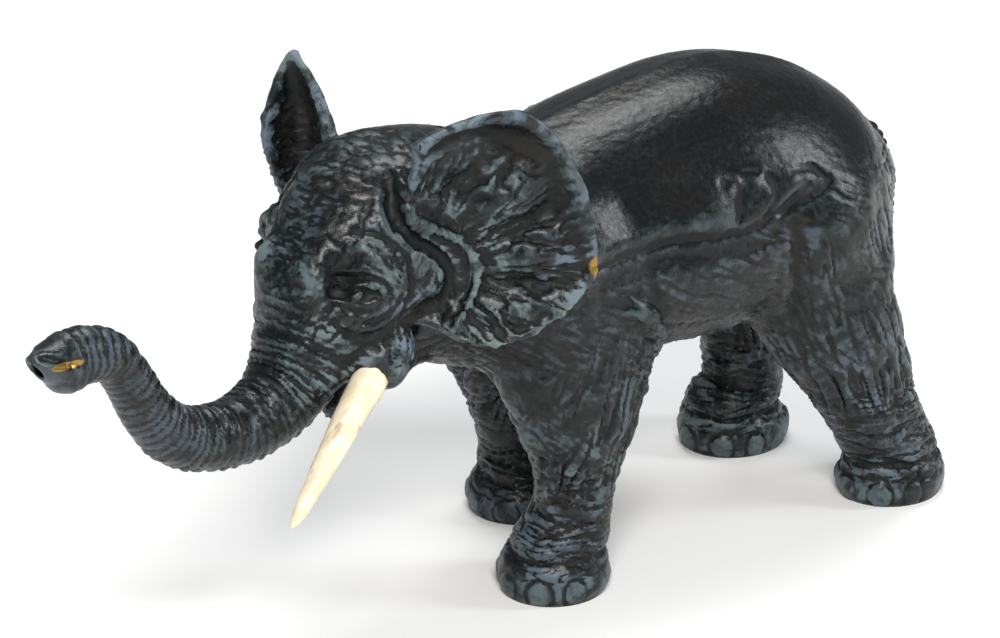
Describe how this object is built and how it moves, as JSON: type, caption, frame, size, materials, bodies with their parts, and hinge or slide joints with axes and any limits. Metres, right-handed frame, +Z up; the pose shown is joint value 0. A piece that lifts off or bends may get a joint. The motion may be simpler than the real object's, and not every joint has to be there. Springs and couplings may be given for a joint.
{
  "type": "figural animal coin bank",
  "caption": "Standing elephant coin bank with raised trunk, slot in the back and a hinged, coin-locked trap in the belly.",
  "frame": {"origin": "centre of the footprint of the whole figure, on the ground under the soles", "axes": "+Z up, +X from the head towards the tail, +Y towards the animal's right side"},
  "size_m": [0.3169, 0.0983, 0.1613],
  "materials": {
    "bronze": "cast brass under a near-black patina, grey-green where rubbed, bare brass on a few worn edges",
    "ivory": "cream cast resin with brown staining at the root",
    "trap_brass": "dull aged brass",
    "steel": "plain steel screws, dowels and pin"
  },
  "bodies": {
    "figure": {"left_shell": "bronze", "right_shell": "bronze", "head_shell": "bronze", "left_ear": "bronze", "right_ear": "bronze", "left_tusk": "ivory", "right_tusk": "ivory", "tail": "bronze", "shell_screws": "steel", "seam_dowels": "steel", "ear_dowels": "steel", "trap_frame": "trap_brass", "frame_screws": "steel", "hinge_pin": "steel"},
    "door": {"trap_door": "trap_brass", "lock_barrel": "trap_brass", "barrel_nut": "trap_brass"},
    "lock": {"lock_rotor": "trap_brass", "lock_cam": "trap_brass", "cam_nut": "steel"}
  },
  "joints": [
    {"name": "trap_hinge", "type": "hinge", "parent": "figure", "child": "door", "pos_m": [0.0847, 0.0016, 0.0673], "axis": [0, -1, 0], "range_deg": [0, 95]},
    {"name": "lock_turn", "type": "hinge", "parent": "door", "child": "lock", "pos_m": [0.0567, 0.0016, 0.07], "axis": [0, 0, 1], "range_deg": [0, 90]}
  ]
}
